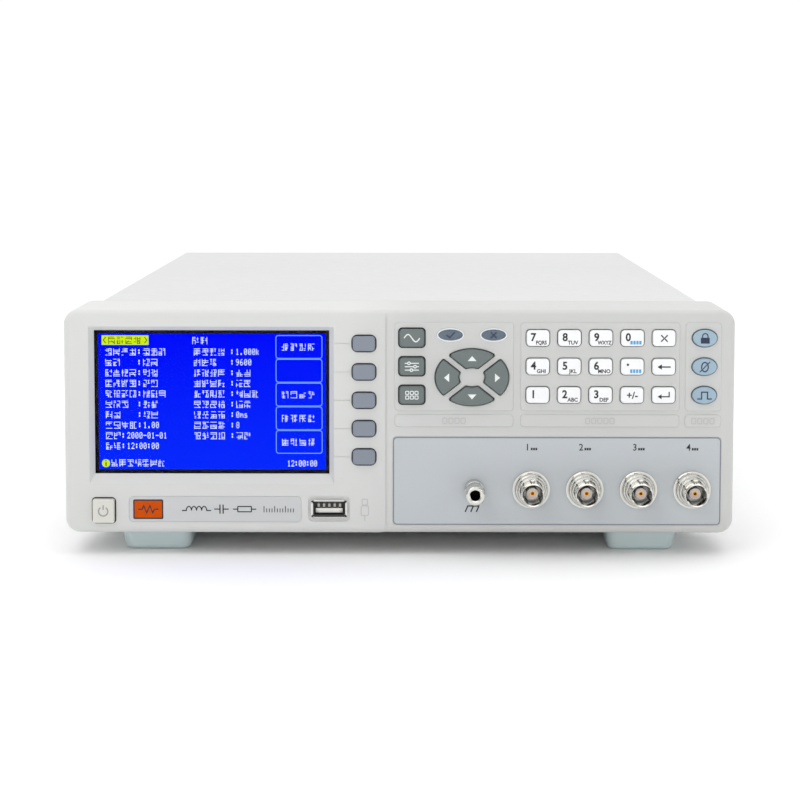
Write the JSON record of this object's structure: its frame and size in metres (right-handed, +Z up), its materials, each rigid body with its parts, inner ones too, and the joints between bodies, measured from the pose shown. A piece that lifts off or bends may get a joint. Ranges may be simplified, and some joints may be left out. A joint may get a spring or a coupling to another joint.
{
  "type": "bench lcr meter",
  "caption": "Bench component meter with a colour display, softkeys, number and arrow keypads, coaxial test terminals and a ground jack, in a grey steel case on feet.",
  "frame": {"origin": "on the bench, under the middle of the bounding box", "axes": "+Z up, -Y towards the operator (front panel faces -Y), +X to the right seen from the front"},
  "size_m": [0.2752, 0.3982, 0.1015],
  "materials": {
    "soft_key": "fine satin moulding",
    "dark_key": "fine satin moulding",
    "blue_key": "fine satin moulding",
    "white_key": "fine satin moulding",
    "power_button": "satin moulding with raised symbol",
    "bezel": "fine-grained moulding, warm light grey",
    "window": "clear polished pane",
    "lcd": "lit display behind its border, steel frame",
    "name_plate": "printed film",
    "terminal_plate": "satin paint, blue-grey",
    "lens": "tinted lens",
    "lens_rim": "white surround",
    "nickel": "bright nickel plate",
    "insulator": "white fluoropolymer",
    "gold": "gold plate",
    "circuit_board": "solder-masked laminate and parts",
    "black_plastic": "glass-filled moulding",
    "socket_steel": "tin plate",
    "foot": "satin moulding, grey-green",
    "zinc_steel": "zinc plate",
    "cover": "fine powder coat",
    "rear_panel": "fine powder coat",
    "transformer": "varnished core and taped winding",
    "screw": "zinc-plated steel"
  },
  "bodies": {
    "instrument": {"bnc_bodies": "nickel", "bnc_contacts": "gold", "bnc_insulators": "insulator", "chassis_tray": "zinc_steel", "display_window": "window", "fan_frame": "black_plastic", "feet": "foot", "front_bezel": "bezel", "ground_post": "nickel", "indicator_lenses": "lens", "indicator_rims": "lens_rim", "key_board": "circuit_board", "lcd_module": "lcd", "main_board": "circuit_board", "name_plate": "name_plate", "power_inlet": "black_plastic", "power_switch": "black_plastic", "rear_panel": "rear_panel", "rear_sockets": "socket_steel", "screws": "screw", "terminal_nuts": "nickel", "terminal_plate": "terminal_plate", "top_cover": "cover", "transformer": "transformer", "usb_socket": "nickel"},
    "arrow_down_key_body": {"arrow_down_key": "dark_key"},
    "arrow_left_key_body": {"arrow_left_key": "dark_key"},
    "arrow_right_key_body": {"arrow_right_key": "dark_key"},
    "arrow_up_key_body": {"arrow_up_key": "dark_key"},
    "back_key_body": {"back_key": "white_key"},
    "cancel_key_body": {"cancel_key": "white_key"},
    "enter_key_body": {"enter_key": "white_key"},
    "key_0_body": {"key_0": "white_key"},
    "key_1_body": {"key_1": "white_key"},
    "key_2_body": {"key_2": "white_key"},
    "key_3_body": {"key_3": "white_key"},
    "key_4_body": {"key_4": "white_key"},
    "key_5_body": {"key_5": "white_key"},
    "key_6_body": {"key_6": "white_key"},
    "key_7_body": {"key_7": "white_key"},
    "key_8_body": {"key_8": "white_key"},
    "key_9_body": {"key_9": "white_key"},
    "key_point_body": {"key_point": "white_key"},
    "key_sign_body": {"key_sign": "white_key"},
    "lock_key_body": {"lock_key": "blue_key"},
    "measure_key_body": {"measure_key": "dark_key"},
    "setup_key_body": {"setup_key": "dark_key"},
    "softkey_1_body": {"softkey_1": "soft_key"},
    "softkey_2_body": {"softkey_2": "soft_key"},
    "softkey_3_body": {"softkey_3": "soft_key"},
    "softkey_4_body": {"softkey_4": "soft_key"},
    "softkey_5_body": {"softkey_5": "soft_key"},
    "system_key_body": {"system_key": "dark_key"},
    "trigger_key_body": {"trigger_key": "blue_key"},
    "zero_key_body": {"zero_key": "blue_key"},
    "power_button_body": {"power_button": "power_button"},
    "fan_rotor_body": {"fan_rotor": "black_plastic"},
    "fuse_drawer_body": {"fuse_drawer": "black_plastic"},
    "tilt_leg_left_body": {"tilt_leg_left": "foot"},
    "tilt_leg_right_body": {"tilt_leg_right": "foot"}
  },
  "joints": [
    {"name": "arrow_down_key_push", "type": "slide", "parent": "instrument", "child": "arrow_down_key_body", "axis": [0, 1, 0], "range_m": [0, 0.001], "stiffness_N_per_m": 900},
    {"name": "arrow_left_key_push", "type": "slide", "parent": "instrument", "child": "arrow_left_key_body", "axis": [0, 1, 0], "range_m": [0, 0.001], "stiffness_N_per_m": 900},
    {"name": "arrow_right_key_push", "type": "slide", "parent": "instrument", "child": "arrow_right_key_body", "axis": [0, 1, 0], "range_m": [0, 0.001], "stiffness_N_per_m": 900},
    {"name": "arrow_up_key_push", "type": "slide", "parent": "instrument", "child": "arrow_up_key_body", "axis": [0, 1, 0], "range_m": [0, 0.001], "stiffness_N_per_m": 900},
    {"name": "back_key_push", "type": "slide", "parent": "instrument", "child": "back_key_body", "axis": [0, 1, 0], "range_m": [0, 0.001], "stiffness_N_per_m": 900},
    {"name": "cancel_key_push", "type": "slide", "parent": "instrument", "child": "cancel_key_body", "axis": [0, 1, 0], "range_m": [0, 0.001], "stiffness_N_per_m": 900},
    {"name": "enter_key_push", "type": "slide", "parent": "instrument", "child": "enter_key_body", "axis": [0, 1, 0], "range_m": [0, 0.001], "stiffness_N_per_m": 900},
    {"name": "key_0_push", "type": "slide", "parent": "instrument", "child": "key_0_body", "axis": [0, 1, 0], "range_m": [0, 0.001], "stiffness_N_per_m": 900},
    {"name": "key_1_push", "type": "slide", "parent": "instrument", "child": "key_1_body", "axis": [0, 1, 0], "range_m": [0, 0.001], "stiffness_N_per_m": 900},
    {"name": "key_2_push", "type": "slide", "parent": "instrument", "child": "key_2_body", "axis": [0, 1, 0], "range_m": [0, 0.001], "stiffness_N_per_m": 900},
    {"name": "key_3_push", "type": "slide", "parent": "instrument", "child": "key_3_body", "axis": [0, 1, 0], "range_m": [0, 0.001], "stiffness_N_per_m": 900},
    {"name": "key_4_push", "type": "slide", "parent": "instrument", "child": "key_4_body", "axis": [0, 1, 0], "range_m": [0, 0.001], "stiffness_N_per_m": 900},
    {"name": "key_5_push", "type": "slide", "parent": "instrument", "child": "key_5_body", "axis": [0, 1, 0], "range_m": [0, 0.001], "stiffness_N_per_m": 900},
    {"name": "key_6_push", "type": "slide", "parent": "instrument", "child": "key_6_body", "axis": [0, 1, 0], "range_m": [0, 0.001], "stiffness_N_per_m": 900},
    {"name": "key_7_push", "type": "slide", "parent": "instrument", "child": "key_7_body", "axis": [0, 1, 0], "range_m": [0, 0.001], "stiffness_N_per_m": 900},
    {"name": "key_8_push", "type": "slide", "parent": "instrument", "child": "key_8_body", "axis": [0, 1, 0], "range_m": [0, 0.001], "stiffness_N_per_m": 900},
    {"name": "key_9_push", "type": "slide", "parent": "instrument", "child": "key_9_body", "axis": [0, 1, 0], "range_m": [0, 0.001], "stiffness_N_per_m": 900},
    {"name": "key_point_push", "type": "slide", "parent": "instrument", "child": "key_point_body", "axis": [0, 1, 0], "range_m": [0, 0.001], "stiffness_N_per_m": 900},
    {"name": "key_sign_push", "type": "slide", "parent": "instrument", "child": "key_sign_body", "axis": [0, 1, 0], "range_m": [0, 0.001], "stiffness_N_per_m": 900},
    {"name": "lock_key_push", "type": "slide", "parent": "instrument", "child": "lock_key_body", "axis": [0, 1, 0], "range_m": [0, 0.001], "stiffness_N_per_m": 900},
    {"name": "measure_key_push", "type": "slide", "parent": "instrument", "child": "measure_key_body", "axis": [0, 1, 0], "range_m": [0, 0.001], "stiffness_N_per_m": 900},
    {"name": "setup_key_push", "type": "slide", "parent": "instrument", "child": "setup_key_body", "axis": [0, 1, 0], "range_m": [0, 0.001], "stiffness_N_per_m": 900},
    {"name": "softkey_1_push", "type": "slide", "parent": "instrument", "child": "softkey_1_body", "axis": [0, 1, 0], "range_m": [0, 0.001], "stiffness_N_per_m": 900},
    {"name": "softkey_2_push", "type": "slide", "parent": "instrument", "child": "softkey_2_body", "axis": [0, 1, 0], "range_m": [0, 0.001], "stiffness_N_per_m": 900},
    {"name": "softkey_3_push", "type": "slide", "parent": "instrument", "child": "softkey_3_body", "axis": [0, 1, 0], "range_m": [0, 0.001], "stiffness_N_per_m": 900},
    {"name": "softkey_4_push", "type": "slide", "parent": "instrument", "child": "softkey_4_body", "axis": [0, 1, 0], "range_m": [0, 0.001], "stiffness_N_per_m": 900},
    {"name": "softkey_5_push", "type": "slide", "parent": "instrument", "child": "softkey_5_body", "axis": [0, 1, 0], "range_m": [0, 0.001], "stiffness_N_per_m": 900},
    {"name": "system_key_push", "type": "slide", "parent": "instrument", "child": "system_key_body", "axis": [0, 1, 0], "range_m": [0, 0.001], "stiffness_N_per_m": 900},
    {"name": "trigger_key_push", "type": "slide", "parent": "instrument", "child": "trigger_key_body", "axis": [0, 1, 0], "range_m": [0, 0.001], "stiffness_N_per_m": 900},
    {"name": "zero_key_push", "type": "slide", "parent": "instrument", "child": "zero_key_body", "axis": [0, 1, 0], "range_m": [0, 0.001], "stiffness_N_per_m": 900},
    {"name": "power_button_push", "type": "slide", "parent": "instrument", "child": "power_button_body", "axis": [0, 1, 0], "range_m": [0, 0.002], "stiffness_N_per_m": 900},
    {"name": "fan_spin", "type": "hinge", "parent": "instrument", "child": "fan_rotor_body", "pos_m": [0.088, 0.17915, 0.05675], "axis": [0, 1, 0], "continuous": true},
    {"name": "fuse_drawer_pull", "type": "slide", "parent": "instrument", "child": "fuse_drawer_body", "axis": [0, 1, 0], "range_m": [0, 0.016]},
    {"name": "tilt_leg_left_swing", "type": "hinge", "parent": "instrument", "child": "tilt_leg_left_body", "pos_m": [-0.1015, -0.14385, 0.0047], "axis": [-1, 0, 0], "range_deg": [0, 95]},
    {"name": "tilt_leg_right_swing", "type": "hinge", "parent": "instrument", "child": "tilt_leg_right_body", "pos_m": [0.1015, -0.14385, 0.0047], "axis": [-1, 0, 0], "range_deg": [0, 95]}
  ]
}
